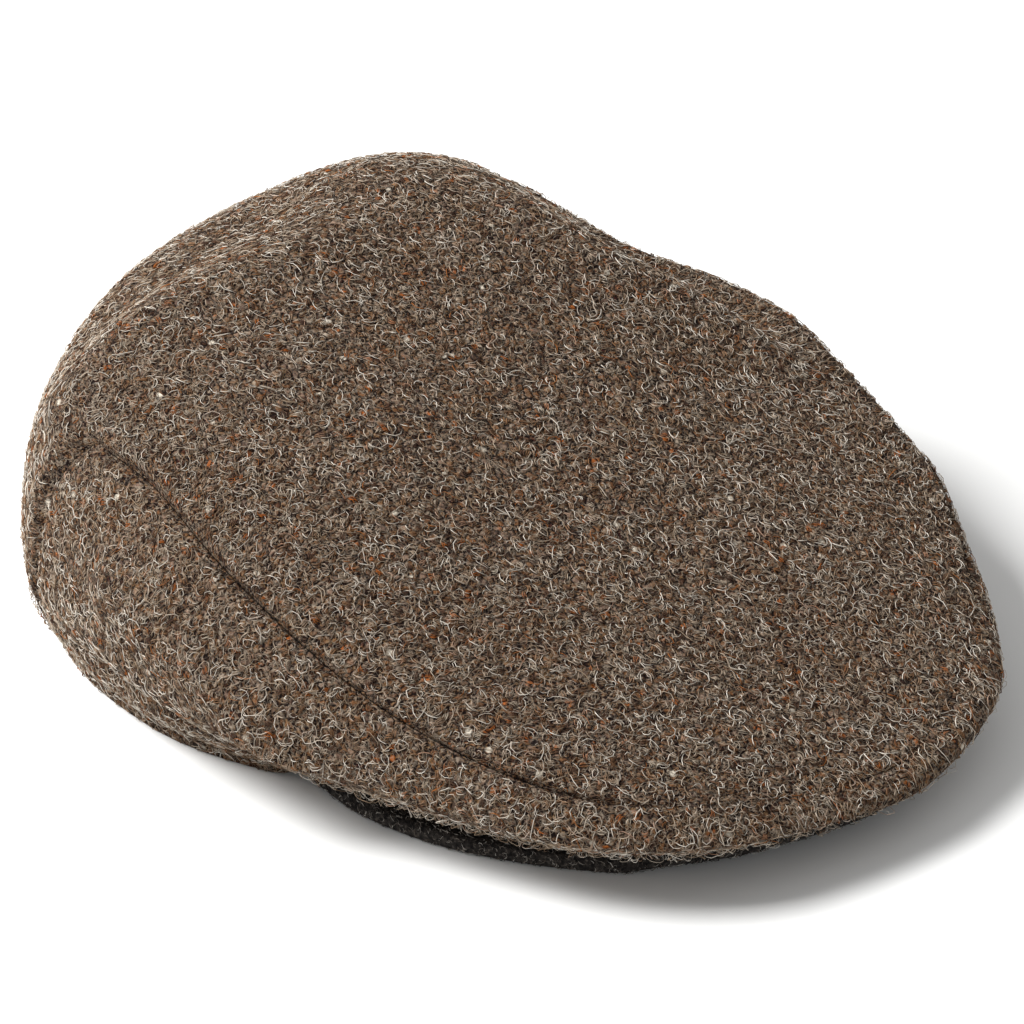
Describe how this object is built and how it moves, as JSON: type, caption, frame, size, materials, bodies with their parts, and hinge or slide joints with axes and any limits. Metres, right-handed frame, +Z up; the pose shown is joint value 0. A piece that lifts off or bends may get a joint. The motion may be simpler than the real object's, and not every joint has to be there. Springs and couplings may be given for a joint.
{
  "type": "flat cap",
  "caption": "Flat cap in coarse tweed: a wide top panel running down the back, a side band that narrows round the front, and a short dark peak.",
  "frame": {"origin": "on the surface the cap rests on, under the middle of its length and width", "axes": "+Z up, +Y to the back of the cap, -Y to the peak, +X to the wearer's left"},
  "size_m": [0.224, 0.2676, 0.0985],
  "materials": {
    "top_tweed": "coarse hairy tweed, matt",
    "side_tweed": "coarse hairy tweed, matt",
    "peak_wool": "fine dark wool, matt"
  },
  "bodies": {
    "root": {"top_panel": "top_tweed", "side_band": "side_tweed", "peak": "peak_wool"}
  },
  "joints": []
}
